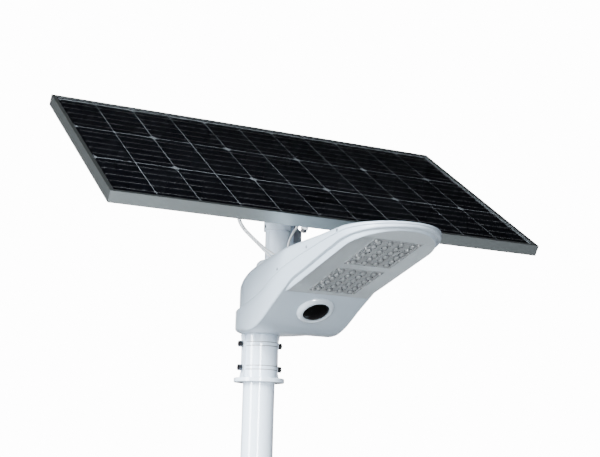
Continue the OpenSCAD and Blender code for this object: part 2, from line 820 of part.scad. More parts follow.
// Half of a square cell with two cut corners, on its left side
module half_cell() {
    w = pitch_x - 2;
    v = pitch_v - 4;
    c = 9;
    linear_extrude(cell_t) polygon([
        [c - w / 2, -v / 2], [w / 2, -v / 2], [w / 2, v / 2], [c - w / 2, v / 2],
        [-w / 2, v / 2 - c], [-w / 2, c - v / 2]
    ]);
}

module solar_cells() {
    color("black") on_ring() on_panel() translate([0, 0, -lip_t - glass_t - cell_t])
        for (i = [0:columns - 1], j = [0:rows - 1])
            translate([(i - (columns - 1) / 2) * pitch_x, (j - (rows - 1) / 2) * pitch_v])
                rotate(i % 2 == 0 ? 0 : 180) half_cell();
}

module backsheet() {
    color("white") on_ring() on_panel() sheet(-lip_t - glass_t - cell_t, -laminate_low, 2.3);
}

module junction_box() {
    color("black") on_ring() on_panel() difference() {
        union() {
            translate([-180, 90, -23]) cube([76, 80, 23 - laminate_low]);
            for (x = [-140, -126]) translate([x, 78, -15]) rotate([-90, 0, 0]) cylinder(r = 5.5, h = 12.5);
        }
        translate([-177, 93, -24]) cube([70, 74, 15]);
    }
}

module junction_lid() {
    color("black") on_ring() on_panel() difference() {
        translate([-181, 89, -25.5]) cube([78, 82, 2.5]);
        for (x = [-175, -109], v = [95, 165]) translate([x, v, -26.5]) cylinder(r = 2, h = 2);
    }
}

module bond_lug() {
    low_w = -frame_h + flange_t;
    color("gold") on_ring() on_panel() {
        difference() {
            translate([rail_x - 6, 22, low_w - 1.5]) cube([12, 18, 1.5]);
            translate([rail_x, 33, low_w - 5]) cylinder(r = 3, h = 10);
        }
        translate([rail_x, 8, low_w - 3.8]) rotate([-90, 0, 0]) cylinder(r = 3.6, h = 14.2);
        translate([rail_x, 33, low_w - 1.5]) mirror([0, 0, 1]) rotate([180, 0, 0]) socket_screw(6, 10);
    }
}

// ---- Leads ----

module lead_plus_low() {
    color("white") on_ring() lead(plus_route, 0, 16);
}

module lead_plus_high() {
    color("white") on_ring() lead(plus_route, 16, 26);
}

module lead_minus_low() {
    color("white") on_ring() lead(minus_route, 0, 16);
}

module lead_minus_high() {
    color("white") on_ring() lead(minus_route, 16, 26);
}

module lead_bond_low() {
    color("white") on_ring() lead(bond_route, 0, 12);
}

module lead_bond_high() {
    color("white") on_ring() lead(bond_route, 12, 22);
}

pole_tube();
stop_ring();
pole_socket();
socket_screws();
screw_washers();
socket_bolts();
head_tray();
head_cover();
cover_screws();
spine();
spine_bolts();
stub_collar();
stub_tube();
stub_cap();
neck_cover();
light_plate();
led_boards();
led_chips();
lens_inner();
lens_outer();
lens_screws();
sensor_ring();
sensor_dome();
sensor_board();
battery();
battery_tray();
controller();
head_glands();
saddle();
saddle_screws();
cheek_left();
cheek_right();
pivot_bolt();
pivot_spacer();
ear_left();
ear_right();
lock_bolts();
ear_bolts();
rail_left();
rail_right();
rail_bolts();
rail_spacers();
frame_near();
frame_far();
frame_left();
frame_right();
corner_keys();
panel_glass();
solar_cells();
backsheet();
junction_box();
junction_lid();
bond_lug();
lead_plus_low();
lead_plus_high();
lead_minus_low();
lead_minus_high();
lead_bond_low();
lead_bond_high();
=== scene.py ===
import math

import bmesh
import bpy
import numpy as np
from mathutils import Matrix, Vector

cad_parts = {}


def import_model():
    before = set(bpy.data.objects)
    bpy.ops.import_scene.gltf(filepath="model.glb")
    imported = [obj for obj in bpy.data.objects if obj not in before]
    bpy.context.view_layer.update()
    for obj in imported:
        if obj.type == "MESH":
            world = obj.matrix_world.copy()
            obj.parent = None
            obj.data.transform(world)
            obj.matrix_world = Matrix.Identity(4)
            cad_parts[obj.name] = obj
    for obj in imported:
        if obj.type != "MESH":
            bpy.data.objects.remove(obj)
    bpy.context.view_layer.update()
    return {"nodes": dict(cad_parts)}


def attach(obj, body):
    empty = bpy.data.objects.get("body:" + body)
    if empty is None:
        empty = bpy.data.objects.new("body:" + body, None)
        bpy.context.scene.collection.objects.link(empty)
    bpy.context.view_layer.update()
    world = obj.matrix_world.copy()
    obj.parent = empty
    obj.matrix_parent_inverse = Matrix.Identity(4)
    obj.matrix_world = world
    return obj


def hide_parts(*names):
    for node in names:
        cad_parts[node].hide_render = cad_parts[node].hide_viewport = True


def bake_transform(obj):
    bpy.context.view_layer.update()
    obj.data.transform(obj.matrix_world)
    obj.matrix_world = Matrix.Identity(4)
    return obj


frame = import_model()

MM = 0.001
RING_Z = 260.0  # the stop ring's top, in mm above the origin; heights below are measured from it
EDGE_ANGLE = math.radians(35)  # edges that turn by more are shaded sharp, and bevelled on CAD nodes


def mm(x, y, z):
    """A point in metres, from mm and a height above the stop ring."""
    return Vector((x * MM, y * MM, (z + RING_Z) * MM))


# ---- Camera ----

CAMERA_AT = (-1253.45, -2646.94, -201.35)
CAMERA_TURN = (-27.066, -10.992, 1.525)  # azimuth, elevation and roll, in degrees
CAMERA_LENS, CAMERA_SENSOR = 73.249, 36


def make_camera():
    az, el, roll = map(math.radians, CAMERA_TURN)
    back = Vector((math.sin(az) * math.cos(el), -math.cos(az) * math.cos(el), math.sin(el)))
    right = (-back).cross(Vector((0, 0, 1))).normalized()
    up = right.cross(-back)
    x = math.cos(roll) * right + math.sin(roll) * up
    y = -math.sin(roll) * right + math.cos(roll) * up
    data = bpy.data.cameras.new("camera")
    data.lens = CAMERA_LENS
    data.sensor_width = CAMERA_SENSOR
    data.clip_start, data.clip_end = 0.05, 50
    cam = bpy.data.objects.new("camera", data)
    bpy.context.scene.collection.objects.link(cam)
    m = Matrix((x, y, back)).transposed().to_4x4()
    m.translation = mm(*CAMERA_AT)
    cam.matrix_world = m
    bpy.context.scene.camera = cam


make_camera()

# ---- Materials ----


class Mat:
    """A procedural material; the methods add to its principled shader."""

    def __init__(self, name, color, rough=0.5, metal=0.0, **more):
        self.mat = bpy.data.materials.new(name)
        self.mat.use_nodes = True
        self.nodes = self.mat.node_tree.nodes
        self.links = self.mat.node_tree.links
        self.bsdf = self.nodes["Principled BSDF"]
        self.set("Base Color", (*color, 1.0))
        self.set("Roughness", rough)
        self.set("Metallic", metal)
        for key, value in more.items():
            self.set(key.replace("_", " "), value)
        self.color, self.rough = color, rough

    def set(self, name, value):
        self.bsdf.inputs[name].default_value = value

    def noise(self, scale, stretch=(1, 1, 1), detail=3.0):
        where = self.nodes.new("ShaderNodeTexCoord")
        move = self.nodes.new("ShaderNodeMapping")
        move.inputs["Scale"].default_value = stretch
        tex = self.nodes.new("ShaderNodeTexNoise")
        tex.inputs["Scale"].default_value = scale
        tex.inputs["Detail"].default_value = detail
        self.links.new(where.outputs["Object"], move.inputs["Vector"])
        self.links.new(move.outputs["Vector"], tex.inputs["Vector"])
        return tex.outputs["Fac"]

    def ramp(self, fac, low, high):
        node = self.nodes.new("ShaderNodeMapRange")
        node.inputs["To Min"].default_value = low
        node.inputs["To Max"].default_value = high
        self.links.new(fac, node.inputs["Value"])
        return node.outputs["Result"]

    def mottle(self, scale, amount, stretch=(1, 1, 1)):
        """The colour gets slightly lighter and darker from place to place."""
        fac = self.noise(scale, stretch)
        mix = self.nodes.new("ShaderNodeMix")
        mix.data_type = "RGBA"
        mix.inputs["A"].default_value = (*[c * (1 - amount) for c in self.color], 1)
        mix.inputs["B"].default_value = (*[min(1, c * (1 + amount)) for c in self.color], 1)
        self.links.new(fac, mix.inputs["Factor"])
        self.links.new(mix.outputs["Result"], self.bsdf.inputs["Base Color"])
        return self

    def vary_rough(self, scale, amount, stretch=(1, 1, 1)):
        """The gloss changes slightly from place to place."""
        fac = self.noise(scale, stretch, detail=4.0)
        out = self.ramp(fac, max(0, self.rough - amount), self.rough + amount)
        self.links.new(out, self.bsdf.inputs["Roughness"])
        return self

    def bump(self, scale, strength, distance, stretch=(1, 1, 1)):
        """A fine grain; distance is its height in metres."""
        fac = self.noise(scale, stretch)
        node = self.nodes.new("ShaderNodeBump")
        node.inputs["Strength"].default_value = strength
        node.inputs["Distance"].default_value = distance
        self.links.new(fac, node.inputs["Height"])
        self.links.new(node.outputs["Normal"], self.bsdf.inputs["Normal"])
        return self


def materials():
    m = {}
    m["pole"] = Mat("pole_paint", (0.73, 0.83, 0.95), 0.3, Coat_Weight=1.0, Coat_Roughness=0.03)
    m["pole"].mottle(6, 0.015).vary_rough(30, 0.03).bump(260, 0.05, 0.0004)
    m["socket"] = Mat("socket_paint", (0.71, 0.81, 0.93), 0.3, Coat_Weight=1.0, Coat_Roughness=0.03)
    m["socket"].mottle(9, 0.02).vary_rough(40, 0.04).bump(300, 0.08, 0.0004)
    m["head"] = Mat("head_paint", (0.35, 0.41, 0.475), 0.34, Coat_Weight=0.15, Coat_Roughness=0.25)
    m["head"].mottle(5, 0.02).vary_rough(24, 0.04).bump(420, 0.10, 0.0004)
    m["plate"] = Mat("plate_paint", (0.33, 0.36, 0.38), 0.5)
    m["plate"].mottle(8, 0.02).vary_rough(40, 0.05).bump(500, 0.12, 0.0004)
    m["ring"] = Mat("sensor_white", (0.45, 0.51, 0.57), 0.2, Coat_Weight=1.0, Coat_Roughness=0.14)
    m["ring"].mottle(14, 0.015).bump(380, 0.06, 0.0003)
    m["window"] = Mat("sensor_window", (0.0005, 0.0005, 0.0005), 0.05, Specular_IOR_Level=0.04)
    m["window"].vary_rough(50, 0.02)
    m["dark"] = Mat("dark_steel", (0.07, 0.07, 0.075), 0.3, 0.9)
    m["dark"].mottle(60, 0.15).vary_rough(120, 0.1)
    m["zinc"] = Mat("zinc_steel", (0.55, 0.56, 0.57), 0.35, 0.9)
    m["zinc"].mottle(80, 0.12).vary_rough(140, 0.1)
    m["bracket"] = Mat("bracket_paint", (0.30, 0.32, 0.34), 0.45)
    m["bracket"].mottle(12, 0.04).bump(350, 0.12, 0.0004)
    m["galv"] = Mat("galvanised", (0.42, 0.44, 0.45), 0.45, 0.7)
    m["galv"].mottle(70, 0.14).vary_rough(60, 0.12)
    m["cast"] = Mat("raw_casting", (0.50, 0.51, 0.52), 0.5, 0.8)
    m["cast"].mottle(40, 0.08).bump(500, 0.3, 0.0005)
    m["board"] = Mat("white_board", (0.24, 0.25, 0.26), 0.45)
    m["board"].mottle(90, 0.04)
    m["led"] = Mat("phosphor", (0.80, 0.66, 0.20), 0.5)
    m["led"].mottle(900, 0.05)
    m["battery"] = Mat("battery_wrap", (0.03, 0.12, 0.34), 0.3)
    m["battery"].mottle(30, 0.06).bump(90, 0.15, 0.001)
    m["nylon"] = Mat("white_nylon", (0.74, 0.75, 0.76), 0.45)
    m["nylon"].mottle(50, 0.04).bump(400, 0.1, 0.0003)
    m["gland"] = Mat("gland_nylon", (0.012, 0.012, 0.013), 0.45)
    m["gland"].mottle(60, 0.04).bump(600, 0.1, 0.0003)
    m["rail"] = Mat("rail_alu", (0.55, 0.56, 0.57), 0.4, 0.85)
    m["rail"].mottle(20, 0.05, stretch=(1, 0.05, 1)).bump(300, 0.1, 0.0003, stretch=(1, 0.02, 1))
    m["frame"] = Mat("frame_alu", (0.27, 0.295, 0.30), 0.36, 1.0)
    m["frame"].mottle(12, 0.04).vary_rough(60, 0.05, (1, 8, 8)).bump(700, 0.06, 0.0002)
    m["cell"] = Mat("silicon", (0.0035, 0.004, 0.006), 0.3, Specular_IOR_Level=0.3)
    m["cell"].mottle(5, 0.3).vary_rough(18, 0.05)
    m["bus"] = Mat("busbar", (0.34, 0.34, 0.35), 0.5, 0.3)
    m["bus"].mottle(90, 0.1)
    m["sheet"] = Mat("backsheet", (0.62, 0.64, 0.65), 0.6)
    m["sheet"].mottle(25, 0.03).bump(160, 0.05, 0.0005)
    m["box"] = Mat("box_black", (0.02, 0.02, 0.022), 0.5)
    m["box"].mottle(60, 0.1).bump(500, 0.2, 0.0004)
    m["brass"] = Mat("lug_tin", (0.62, 0.56, 0.42), 0.35, 0.9)
    m["brass"].mottle(90, 0.1)
    m["lead"] = Mat("lead_sheath", (0.74, 0.76, 0.78), 0.42)
    m["lead"].mottle(40, 0.03).bump(500, 0.08, 0.0003)
    m["lens"] = Mat("lens_clear", (0.23, 0.245, 0.255), 0.10, Coat_Weight=1.0, Coat_Roughness=0.04,
                    Alpha=0.8)
    m["lens"].vary_rough(70, 0.04).mottle(60, 0.03)
    # Painted shadow: the dark grey of the rings sunk in the socket's grooves, drawing the grooves' shade
    # lines
    m["seal"] = Mat("seal_nylon", (0.17, 0.18, 0.19), 0.5)
    m["seal"].mottle(80, 0.1)
    # Painted shade: a near-black ring round each lens dome's foot, where the lens's shade falls
    m["foot"] = Mat("lens_foot_painted_shade", (0.05, 0.055, 0.06), 0.15)
    m["foot"].mottle(200, 0.2)
    m["dome"] = Mat("lens_dome", (0.12, 0.13, 0.135), 0.08, Coat_Weight=1.0, Coat_Roughness=0.05)
    m["dome"].mottle(90, 0.1).vary_rough(120, 0.04)
    m["glass"] = glass_material()
    return {look: made.mat for look, made in m.items()}


def glass_material():
    """Grey cover glass: light goes straight through, and only the face that it enters by reflects."""
    made = Mat("cover_glass", (0.8, 0.84, 0.86), 0.05)
    nodes, links = made.nodes, made.links
    clear = nodes.new("ShaderNodeBsdfTransparent")
    clear.inputs["Color"].default_value = (0.60, 0.61, 0.62, 1)
    gloss = nodes.new("ShaderNodeBsdfGlossy")
    facing = nodes.new("ShaderNodeFresnel")
    facing.inputs["IOR"].default_value = 1.3
    outside = nodes.new("ShaderNodeNewGeometry")
    front = nodes.new("ShaderNodeMath")
    front.operation = "SUBTRACT"
    front.use_clamp = True
    links.new(facing.outputs["Fac"], front.inputs[0])
    links.new(outside.outputs["Backfacing"], front.inputs[1])
    mix = nodes.new("ShaderNodeMixShader")
    wave = made.ramp(made.noise(3, detail=2.0), 0.04, 0.08)
    links.new(wave, gloss.inputs["Roughness"])
    links.new(front.outputs["Value"], mix.inputs["Fac"])
    links.new(clear.outputs["BSDF"], mix.inputs[1])
    links.new(gloss.outputs["BSDF"], mix.inputs[2])
    links.new(mix.outputs["Shader"], nodes["Material Output"].inputs["Surface"])
    nodes.remove(made.bsdf)
    return made


M = materials()

# ---- Mesh helpers ----


def piece(name, verts, faces, material, smooth=True):
    """A new object in the scene, with its doubled points merged and its faces turned outwards."""
    mesh = bpy.data.meshes.new(name)
    mesh.from_pydata([tuple(v) for v in verts], [], [tuple(f) for f in faces])
    mesh.validate()
    bm = bmesh.new()
    bm.from_mesh(mesh)
    bmesh.ops.remove_doubles(bm, verts=bm.verts, dist=1e-6)
    bmesh.ops.recalc_face_normals(bm, faces=bm.faces)
    bm.to_mesh(mesh)
    bm.free()
    obj = bpy.data.objects.new(name, mesh)
    bpy.context.scene.collection.objects.link(obj)
    mesh.materials.append(material)
    if smooth:
        mesh.shade_smooth()
        mesh.set_sharp_from_angle(angle=EDGE_ANGLE)
    return obj


def stack(rings):
    """Faces between mirrored rings; the ends are closed by strips from side to side."""
    n, count = len(rings[0]), len(rings)
    faces = []
    for j in range(count - 1):
        for i in range(n):
            k = (i + 1) % n
            faces.append((j * n + i, j * n + k, (j + 1) * n + k, (j + 1) * n + i))
    for start in (0, (count - 1) * n):
        for i in range(n // 2 - 1):
            c = n - 1 - i
            faces.append((start + i, start + i + 1, start + c - 1, start + c))
    return [p for ring in rings for p in ring], faces


# ---- Lamp head ----


def smooth_line(points, sigma):
    """Height over y through the points, softened over sigma mm."""
    y, z = np.array(points, float).T
    grid = np.arange(-760, 130, 1.0)
    value = np.interp(grid, y, z)
    span = np.arange(-4 * sigma, 4 * sigma + 1)
    kernel = np.exp(-0.5 * (span / sigma) ** 2)
    padded = np.pad(value, len(span) // 2, mode="edge")
    soft = np.convolve(padded, kernel / kernel.sum(), "valid")
    return lambda at: float(np.interp(at, grid, soft))


# The head's side view: its bottom, the parting line, and the cover's edge and middle
low = smooth_line(
    [(-760, 260), (-690, 256), (-640, 249.5), (-576, 238), (-500, 219), (-426, 199), (-387, 190),
     (-360, 181), (-335, 167.5), (-313, 156), (-289, 144), (-265, 130.5), (-240, 116.5), (-217, 105),
     (-184, 94.5), (-150, 93), (-118, 98), (-84, 103), (20, 103), (60, 106)], 8)
part = smooth_line(
    [(-760, 266), (-690, 262), (-600, 256), (-520, 247), (-440, 235), (-363, 222), (-306, 209),
     (-268, 195), (-229, 177.5), (-178, 161), (-120, 153.5), (-60, 152), (60, 152)], 12)
shoulder = smooth_line(
    [(-760, 267.5), (-690, 267), (-625, 266), (-575, 266), (-520, 266.5), (-438, 265), (-315, 261),
     (-240, 250), (-155, 236), (-90, 222), (0, 203), (30, 196)], 14)
crown = smooth_line(
    [(-760, 267.5), (-690, 268), (-640, 272), (-575, 277), (-438, 278), (-315, 274), (-240, 263),
     (-155, 249), (-90, 235), (0, 214), (30, 202)], 16)
# The head's plan: half its width, the ends of its straight sides, and the length of its round ends
HEAD_A, REAR_Y, TIP_Y, TIP_B, TRAY_B, COVER_B = 110.0, -184.0, -576.0, 112.0, 239.0, 207.0
REAR_K = 1.07  # how square the rear is; 1 is an ellipse
END_ANGLE = 89.4  # degrees; the sides stop short of the middle, so that they don't meet there
END_STEPS, SIDE_STEPS = 40, 64
# The light's flat: its inner edge, and how steeply it rises from there towards the tip, in degrees
LIGHT_Y, LIGHT_Z, LIGHT_TILT = -352.1, 169.4, 14.2


def light(y):
    return LIGHT_Z + (LIGHT_Y - y) * math.tan(math.radians(LIGHT_TILT))


def outline(b):
    """The right side of the plan from rear to tip, with outward normals; b is the rear end's length."""
    points, normals = [], []
    for i in range(END_STEPS):
        w = math.radians(END_ANGLE * (1 - i / END_STEPS))
        c, s = math.cos(w), math.sin(w)
        points.append((HEAD_A * c ** REAR_K, REAR_Y + b * s ** REAR_K))
        normals.append((c ** (2 - REAR_K) / HEAD_A, s ** (2 - REAR_K) / b))
    for i in range(SIDE_STEPS + 1):
        points.append((HEAD_A, REAR_Y + (TIP_Y - REAR_Y) * i / SIDE_STEPS))
        normals.append((1.0, 0.0))
    for i in range(1, END_STEPS + 1):
        w = math.radians(END_ANGLE * i / END_STEPS)
        points.append((HEAD_A * math.cos(w), TIP_Y - TIP_B * math.sin(w)))
        normals.append((math.cos(w) / HEAD_A, -math.sin(w) / TIP_B))
    n = np.array(normals)
    return np.array(points), n / np.linalg.norm(n, axis=1)[:, None]


def both(side, z):
    """A full ring from the right side's points and their heights."""
    right = [mm(x, y, zz) for (x, y), zz in zip(side, z)]
    left = [mm(-x, y, zz) for (x, y), zz in zip(side, z)]
    return right + left[::-1]


def inset(base, d):
    """An outline's points moved inwards by d, one number or one for each point."""
    points, normals = base
    d = np.broadcast_to(np.asarray(d, float), len(points))
    moved = points - normals * d[:, None]
    moved[:, 0] = np.maximum(moved[:, 0], 0.4)
    return moved


def lerp(a, b, t):
    return a + (b - a) * t


def step(x, a, b):
    """Rises smoothly from 0 at a to 1 at b."""
    t = np.clip((np.asarray(x, float) - a) / (b - a), 0, 1)
    return t * t * (3 - 2 * t)


def heights(f, side):
    """The heights that a side view line gives at the side's points."""
    return np.array([f(y) for _, y in side])


def make_tray():
    base = outline(TRAY_B)
    y = base[0][:, 1]
    # The bottom edge's radius: 3 mm at the light, 5 mm round the belly, 17 mm at the rear
    radius = lerp(3.0, 5.0, step(y, -380, -300)) + 12.0 * step(y, -60, 30)
    rings = []
    for w in range(0, 91, 15):
        c, s = math.cos(math.radians(w)), math.sin(math.radians(w))
        side = inset(base, radius * (1 - s))
        rings.append(both(side, heights(low, side) + radius * (1 - c)))
    # The side wall, rounded at its top
    top = heights(part, base[0])
    foot = heights(low, base[0]) + radius
    for t in (0.25, 0.5, 0.75):
        rings.append(both(base[0], lerp(foot, top - 1.2, t)))
    rings.append(both(base[0], top - 1.2))
    rings.append(both(inset(base, 0.4), top - 0.5))
    rings.append(both(inset(base, 1.2), top - 0.1))
    # The ledge behind the cover, then the groove under it
    cover = outline(COVER_B)
    side = inset(cover, 1.6)
    rings.append(both(side, heights(part, side) - 0.1))
    rings.append(both(side, heights(part, side) - 3.0))
    verts, faces = stack(rings)
    obj = piece("tray_casting", verts, faces, M["head"])
    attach(obj, "head")
    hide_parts("head_tray")


def make_cover():
    base = outline(COVER_B)
    side0 = base[0]
    seam = heights(part, side0)
    foot, top = seam + 1.6, heights(shoulder, side0)
    rings = [both(inset(base, 1.0), seam + 0.4), both(side0, foot)]
    radius = np.minimum(18.0, 0.8 * (top - foot))
    for t in (0.35, 0.7, 1.0):
        rings.append(both(side0, lerp(foot, top - radius, t)))
    # Over the edge, then on to the middle
    for w in (12, 24, 36, 48, 60, 72, 82):
        c, s = math.cos(math.radians(w)), math.sin(math.radians(w))
        last, drop = inset(base, radius * (1 - c)), radius * (1 - s)
        rings.append(both(last, heights(shoulder, last) - drop))
    for t in (0.06, 0.13, 0.22, 0.34, 0.48, 0.64, 0.82, 0.985):
        middle = np.clip(last[:, 1], -600, -60)
        side = np.stack([last[:, 0] * (1 - t), lerp(last[:, 1], middle, t)], 1)
        rise = 1 - (1 - t) ** 2
        z = [lerp(shoulder(yy) - d, crown(yy), rise) for (_, yy), d in zip(side, drop)]
        rings.append(both(side, z))
    verts, faces = stack(rings)
    obj = piece("cover_shell", verts, faces, M["head"])
    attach(obj, "head")
    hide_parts("head_cover")


def on_light(x, y, z):
    """A point from its place on the light's flat: y from the inner edge to the tip, z downwards."""
    turn = math.radians(180 - LIGHT_TILT)
    c, s = math.cos(turn), math.sin(turn)
    return mm(x, LIGHT_Y + y * c - z * s, LIGHT_Z + y * s + z * c)


LENSES = {"lens_inner": 0.0, "lens_outer": 153.4}  # where each starts on the light's flat
LENS_W, LENS_L, LENS_TOP = 110.7, 129.4, 1.5
DOMES_X, DOMES_Y, PITCH_X, PITCH_Y = 4, 6, 26, 20.4
DOME_SIDES, DOME_STRETCH = 20, 1.12  # the domes are a little longer than wide
# Across a lens's rim: (distance in from its side, height)
LENS_RIM = ((0, -1.4), (0, 1.2), (0.5, LENS_TOP + 0.3), (2.6, LENS_TOP + 0.3), (3.1, LENS_TOP), (8, LENS_TOP))
# A dome's section from its foot to its middle: (radius, height above the lens)
DOME = [(7.4, 0.0), (6.6, -0.7), (5.9, 0.3), (5.6, 2.0), (4.9, 3.3), (3.7, 4.2), (2.0, 4.7), (0.01, 4.8)]


def add_dome(verts, faces, x, y):
    """Adds a dome and returns how many of its faces are the dark ring at its foot, which come first; that
    ring is painted shade round the dome.
    """
    n, start = DOME_SIDES, len(verts)
    for r, h in DOME:
        for k in range(n):
            a = 2 * math.pi * k / n
            verts.append(on_light(x + r * math.cos(a), y + DOME_STRETCH * r * math.sin(a), LENS_TOP + h))
    for j in range(len(DOME) - 1):
        for k in range(n):
            m = (k + 1) % n
            faces.append(tuple(start + v for v in (j * n + k, j * n + m, (j + 1) * n + m, (j + 1) * n + k)))
    faces.append(tuple(start + (len(DOME) - 1) * n + k for k in range(n)))
    faces.append(tuple(start + k for k in range(n))[::-1])
    return 2 * n


def make_lens(name, t):
    """A lens module that starts t from the inner edge of the light's flat."""
    verts, faces = [], []
    for d, z in LENS_RIM:
        x = LENS_W / 2 - d
        near, far = t + d, t + (LENS_L - d)
        verts += [on_light(*at, z) for at in ((-x, near), (x, near), (x, far), (-x, far))]
    for j in range(len(LENS_RIM) - 1):
        for k in range(4):
            m = (k + 1) % 4
            faces.append((4 * j + k, 4 * j + m, 4 * j + 4 + m, 4 * j + 4 + k))
    last = 4 * len(LENS_RIM) - 4
    faces += [(0, 3, 2, 1), (last, last + 1, last + 2, last + 3)]
    looks = [0] * len(faces)
    for i in range(DOMES_X):
        for j in range(DOMES_Y):
            x = (i - (DOMES_X - 1) / 2) * PITCH_X
            y = t + LENS_L / 2 + (j - (DOMES_Y - 1) / 2) * PITCH_Y
            looks += [1] * add_dome(verts, faces, x, y)
            looks += [2] * (len(faces) - len(looks))
    obj = piece(name, verts, faces, M["lens"])
    # The domes' feet get the painted shade
    obj.data.materials.append(M["foot"])
    obj.data.materials.append(M["dome"])
    for poly, look in zip(obj.data.polygons, looks):
        poly.material_index = look
    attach(obj, "head")
    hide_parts(name)


# The light plate's plan: half its width, where its round tip starts, and the tip's length
PLATE_A, PLATE_TIP_Y, PLATE_TIP_B = 97.5, -577, 96


def plate_side(out):
    """The light plate's right side: straight, then a round tip; out widens it."""
    points = [(PLATE_A + out, y) for y in (-333.0, -336.0, -339.0, -342.0)]
    points += [(PLATE_A + out, y) for y in np.linspace(-345, PLATE_TIP_Y, 46)]
    for i in range(1, END_STEPS + 1):
        w = math.radians(END_ANGLE * i / END_STEPS)
        points.append(((PLATE_A + out) * math.cos(w), PLATE_TIP_Y - (PLATE_TIP_B + out) * math.sin(w)))
    return np.array(points)


# Across the edge of the light plate, outwards from the flat: (distance out, share of the rise to the
# tray's edge, mm below that)
PLATE_EDGE = [(0, 0, 0), (0.5, 0.02, 0.5), (1.0, 0.08, 1.3), (1.8, 0.2, 1.7), (3.0, 0.42, 1.5),
              (3.9, 0.6, 0.9), (4.5, 0.7, 0.1), (4.9, 0.76, -1.3), (5.4, 0.82, -1.9), (6.0, 0.88, -1.3),
              (6.5, 0.92, 0.0), (7.3, 0.97, 0.25), (8.2, 1.0, 0.1), (9.0, 1.04, -0.2)]


def make_light_plate():
    rings = []
    for out, share, down in PLATE_EDGE:
        side = plate_side(out)
        # The edge is shallower next to the belly
        fade = 0.25 + 0.75 * step(-side[:, 1], 345, 400)
        z = [light(y) + share * max(low(y) - light(y), 0.5) - down * f for (_, y), f in zip(side, fade)]
        rings.append(both(side, z))
    verts, faces = stack(rings)
    obj = piece("light_plate_casting", verts, faces, M["plate"])
    obj.data.materials.append(M["head"])
    for poly in obj.data.polygons:
        flat = abs(poly.center.x) < (PLATE_A + 0.6) * MM and poly.normal.z < -0.9
        poly.material_index = 0 if flat else 1
    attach(obj, "head")
    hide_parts("light_plate")


make_tray()
make_cover()
make_light_plate()
for lens, inner_side in LENSES.items():
    make_lens(lens, inner_side)

# ---- Leads ----

# Each lead's route from its gland in the cover to its end, as in part.scad
ROUTES = {
    "plus": [(-21, -142, 264), (-23, -141, 269), (-36, -134.5, 278), (-55.5, -129, 290.5),
             (-73.7, -124.8, 305.3), (-89.7, -119.8, 320.3), (-105.5, -116, 336.5), (-115, -112.5, 355),
             (-121.5, -113, 385), (-125, -114, 420), (-127, -111, 455), (-127, -105, 483),
             (-126, -96, 500), (-126, -85.5, 510.1)],
    "minus": [(-28, -142, 264), (-31.5, -139, 266.5), (-42, -128.5, 273.5), (-57, -122.5, 288),
              (-73.9, -118.6, 304), (-89.7, -113.6, 319.2), (-105.5, -109.8, 335.4), (-116, -106.4, 355),
              (-124, -107, 388), (-131, -110, 420), (-137, -110, 455), (-140, -105, 483),
              (-140, -96, 500), (-140, -85.5, 510.1)],
    "bond": [(2, -142, 264), (2, -138, 275), (2, -130, 295), (7, -127, 316), (15, -127, 333), (26, -128, 351),
             (40, -131, 368), (54, -139, 388), (66, -147, 412), (75, -151, 436), (79, -147, 453),
             (79, -136.2, 460.8)],
}
CUT = {"plus": 8, "minus": 8, "bond": 6}  # the point where the lead is cut into its two pieces
LEAD_R, LEAD_SIDES = 2.7, 20
PER_SPAN = 6  # steps from one point of a route to the next


def smooth_route(points):
    """A Catmull-Rom curve through the points."""
    p = [np.array(q, float) for q in points]
    n = len(p)
    out = []
    for i in range(n - 1):
        a, b, c, d = p[max(i - 1, 0)], p[i], p[i + 1], p[min(i + 2, n - 1)]
        for k in range(PER_SPAN):
            t = k / PER_SPAN
            out.append(0.5 * (2 * b + (c - a) * t + (2 * a - 5 * b + 4 * c - d) * t * t
                              + (3 * b - a - 3 * c + d) * t ** 3))
    out.append(p[-1])
    return np.array(out)


def tube(path):
    verts, faces = [], []
    n, sides = len(path), LEAD_SIDES
    for i in range(n):
        h = path[min(i + 1, n - 1)] - path[max(i - 1, 0)]
        h /= np.linalg.norm(h)
        u = np.cross(h, (0.3, 1, 0))
        u /= np.linalg.norm(u)
        v = np.cross(h, u)
        for k in range(sides):
            a = 2 * math.pi * k / sides
            verts.append(mm(*(path[i] + LEAD_R * (u * math.cos(a) + v * math.sin(a)))))
    for i in range(n - 1):
        for k in range(sides):
            m = (k + 1) % sides
            faces.append((i * sides + k, i * sides + m, (i + 1) * sides + m, (i + 1) * sides + k))
    faces.append(tuple(range(sides))[::-1])
    faces.append(tuple((n - 1) * sides + k for k in range(sides)))
    return verts, faces


def make_leads():
    for name, points in ROUTES.items():
        whole = smooth_route(points)
        cut = CUT[name] * PER_SPAN
        halves = (("low", whole[: cut + 1], "head", "bracket"), ("high", whole[cut:], "bracket", "panel"))
        for end, path, a, b in halves:
            verts, faces = tube(path)
            obj = piece(f"{name}_lead_{end}", verts, faces, M["lead"])
            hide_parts(f"lead_{name}_{end}")
            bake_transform(obj)


make_leads()

# ---- Cell ribbons ----

# The panel at rest: its tilt, the middle of its top, its size, and the cells' distance from its edge
TILT, PANEL_AT = math.radians(33.8), (0.0, -157.9, 479.8)
PANEL_L, PANEL_W, MARGIN = 1048.0, 583.0, 12.5
GLASS_LOW = -4.7  # the glass's underside, below the panel's top
RIBBON_W, RIBBON_H, RIBBON_PITCH, RIBBONS_PER_CELL = 1.0, 0.06, 34.6, 5


def on_panel(x, v, w):
    """A point from its place on the panel: x along it, v up its slope, w out of it."""
    c, s = math.cos(TILT), math.sin(TILT)
    return mm(PANEL_AT[0] + x, PANEL_AT[1] + v * c - w * s, PANEL_AT[2] + v * s + w * c)


